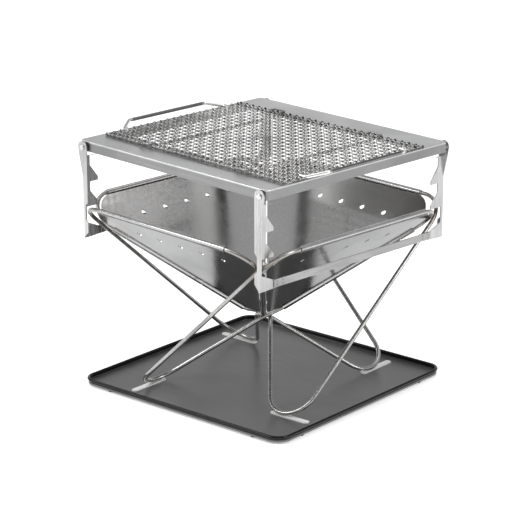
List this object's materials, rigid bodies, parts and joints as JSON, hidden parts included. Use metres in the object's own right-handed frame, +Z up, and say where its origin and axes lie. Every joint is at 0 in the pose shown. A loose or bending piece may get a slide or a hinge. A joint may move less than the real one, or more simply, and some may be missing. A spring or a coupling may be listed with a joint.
{
  "type": "fire pit with grate",
  "caption": "Folding square fire pit: hinged sloping steel panels on rod legs in a low tray, under a lift-off grill bridge carrying a woven wire net with wire handles.",
  "frame": {"origin": "on the ground under the middle of the pit, level with the undersides of the tray's feet", "axes": "+Z up; X runs across the bridge between its two swinging side frames; Y runs between its two plain long flanges"},
  "size_m": [0.4737, 0.4664, 0.4291],
  "materials": {
    "panel_steel": "polished stainless sheet with faint rolling lines and soft heat tint near the corners",
    "rod_steel": "bright drawn stainless rod, straw to brown tint at the bends near the corners",
    "net_wire": "crimped stainless wire, slightly dull",
    "tray_steel": "satin charcoal sheet with blurred reflections",
    "strip_steel": "bright satin stainless strip",
    "bridge_steel": "satin stainless sheet",
    "side_frame_steel": "satin stainless sheet with sheared edges",
    "rivet_steel": "bright rivet head and washer",
    "weld_steel": "dull spot-weld marks"
  },
  "bodies": {
    "tray": {"base_tray": "tray_steel", "tray_feet": "tray_steel", "rest_strips": "strip_steel"},
    "pit_front": {"panel_front": "panel_steel", "leg_frame_front": "rod_steel"},
    "pit_right": {"panel_right": "panel_steel", "leg_frame_right": "rod_steel"},
    "pit_back": {"panel_back": "panel_steel", "leg_frame_back": "rod_steel"},
    "pit_left": {"panel_left": "panel_steel", "leg_frame_left": "rod_steel"},
    "bridge": {"bridge_top": "bridge_steel", "pivot_rivets": "rivet_steel", "pivot_washers": "rivet_steel"},
    "side_frame_right": {"post_front_right": "side_frame_steel", "post_back_right": "side_frame_steel", "bottom_bar_right": "side_frame_steel", "spot_welds_right": "weld_steel"},
    "side_frame_left": {"post_front_left": "side_frame_steel", "post_back_left": "side_frame_steel", "bottom_bar_left": "side_frame_steel", "spot_welds_left": "weld_steel"},
    "net": {"net_wires": "net_wire", "net_support_left": "net_wire", "net_support_right": "net_wire", "net_clips_left": "net_wire", "net_clips_right": "net_wire", "net_handle_left": "net_wire", "net_handle_right": "net_wire"}
  },
  "joints": [
    {"name": "pit_lift", "type": "slide", "parent": "tray", "child": "pit_front", "axis": [0, 0, 1], "range_m": [0, 0.12]},
    {"name": "hinge_front_right", "type": "hinge", "parent": "pit_front", "child": "pit_right", "pos_m": [0, 0, 0.10705], "axis": [-0.5971, 0.5971, -0.5357], "range_deg": [0, 12]},
    {"name": "hinge_front_left", "type": "hinge", "parent": "pit_front", "child": "pit_left", "pos_m": [0, 0, 0.10705], "axis": [0.5971, 0.5971, -0.5357], "range_deg": [0, 12]},
    {"name": "hinge_right_back", "type": "hinge", "parent": "pit_right", "child": "pit_back", "pos_m": [0, 0, 0.10705], "axis": [0.5971, 0.5971, 0.5357], "range_deg": [0, 12]},
    {"name": "bridge_lift", "type": "slide", "parent": "pit_front", "child": "bridge", "axis": [0, 0, 1], "range_m": [0, 0.12]},
    {"name": "side_frame_right_swing", "type": "hinge", "parent": "bridge", "child": "side_frame_right", "pos_m": [0.2055, 0, 0.404], "axis": [0, -1, 0], "range_deg": [0, 68.76]},
    {"name": "side_frame_left_swing", "type": "hinge", "parent": "bridge", "child": "side_frame_left", "pos_m": [-0.2055, 0, 0.404], "axis": [0, 1, 0], "range_deg": [0, 68.76]},
    {"name": "net_lift", "type": "slide", "parent": "bridge", "child": "net", "axis": [0, 0, 1], "range_m": [0, 0.15]}
  ],
  "couplings": [
    {"joint": "hinge_front_right", "follows": "pit_lift", "rad_per_m": 1.7453},
    {"joint": "hinge_front_left", "follows": "pit_lift", "rad_per_m": 1.7453},
    {"joint": "hinge_right_back", "follows": "pit_lift", "rad_per_m": 1.7453},
    {"joint": "bridge_lift", "follows": "pit_lift", "ratio": 1},
    {"joint": "side_frame_right_swing", "follows": "pit_lift", "rad_per_m": 10},
    {"joint": "side_frame_left_swing", "follows": "pit_lift", "rad_per_m": 10}
  ]
}
